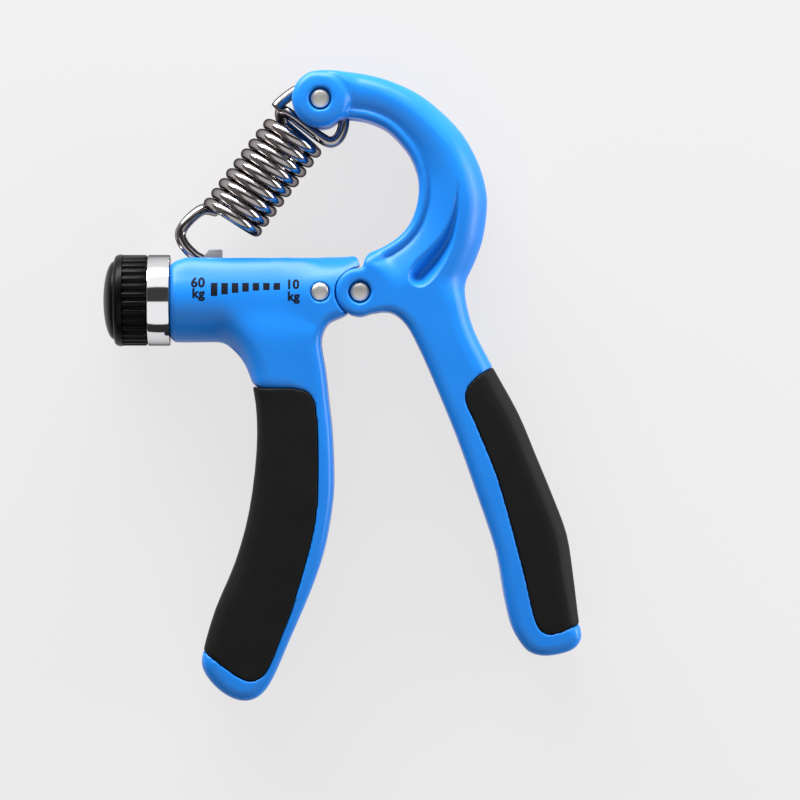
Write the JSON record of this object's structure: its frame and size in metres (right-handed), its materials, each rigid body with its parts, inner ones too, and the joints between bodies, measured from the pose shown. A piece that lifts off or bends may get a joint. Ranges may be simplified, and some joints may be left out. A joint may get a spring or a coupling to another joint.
{
  "type": "hand grip strengthener",
  "caption": "Adjustable hand grip strengthener with two padded handles on a pivot, a tension spring and a knob that sets the resistance.",
  "frame": {"origin": "on the pivot pin's axis, in the plane of the flat side faces that the part lies on", "axes": "+Z through the thickness; +Y from the handles' feet to the tip of the arm; +X from the knob towards the rear handle"},
  "size_m": [0.1028, 0.1352, 0.02],
  "materials": {
    "blue_paint": "satin",
    "rubber": "matte",
    "steel": "satin",
    "chrome": "polished",
    "black_plastic": "satin",
    "brass": "satin"
  },
  "bodies": {
    "front": {"front_body": "blue_paint", "front_pad": "rubber", "hinge_plate": "steel", "plate_pin": "steel", "pivot_pin": "steel", "pivot_washers": "steel", "collar": "chrome", "thrust_washer": "brass", "end_bush": "brass"},
    "rear": {"rear_handle": "blue_paint", "rear_pad": "rubber"},
    "spring_eye": {"tip_pin": "steel"},
    "spring": {"spring": "chrome"},
    "screw": {"knob": "black_plastic", "knob_cap": "black_plastic", "knob_screw": "steel", "lead_screw": "steel", "retaining_clip": "steel"},
    "nut": {"adjuster_nut": "steel", "hook_pin": "steel"}
  },
  "joints": [
    {"name": "squeeze", "type": "hinge", "parent": "front", "child": "rear", "pos_m": [0, 0, 0], "axis": [0, 0, -1], "range_deg": [0, 30], "stiffness_Nm_per_rad": 4, "springref_deg": -8.59},
    {"name": "spring_swing", "type": "hinge", "parent": "rear", "child": "spring_eye", "pos_m": [-0.0085, 0.0414, 0], "axis": [0, 0, 1], "range_deg": [0, 12.5]},
    {"name": "spring_stretch", "type": "slide", "parent": "spring_eye", "child": "spring", "axis": [-0.6018, -0.7986, 0], "range_m": [0, 0.0151], "deforming": ["spring"]},
    {"name": "knob_turn", "type": "hinge", "parent": "front", "child": "screw", "pos_m": [-0.0409, -0.0017, 0.01], "axis": [1, 0, 0], "range_deg": [0, 4824]},
    {"name": "nut_slide", "type": "slide", "parent": "front", "child": "nut", "axis": [1, 0, 0], "range_m": [0, 0.0135]}
  ],
  "couplings": [
    {"joint": "spring_swing", "follows": "squeeze", "ratio": 0.4117},
    {"joint": "spring_stretch", "follows": "squeeze", "m_per_rad": 0.02855},
    {"joint": "nut_slide", "follows": "knob_turn", "m_per_rad": 0.00015915}
  ]
}
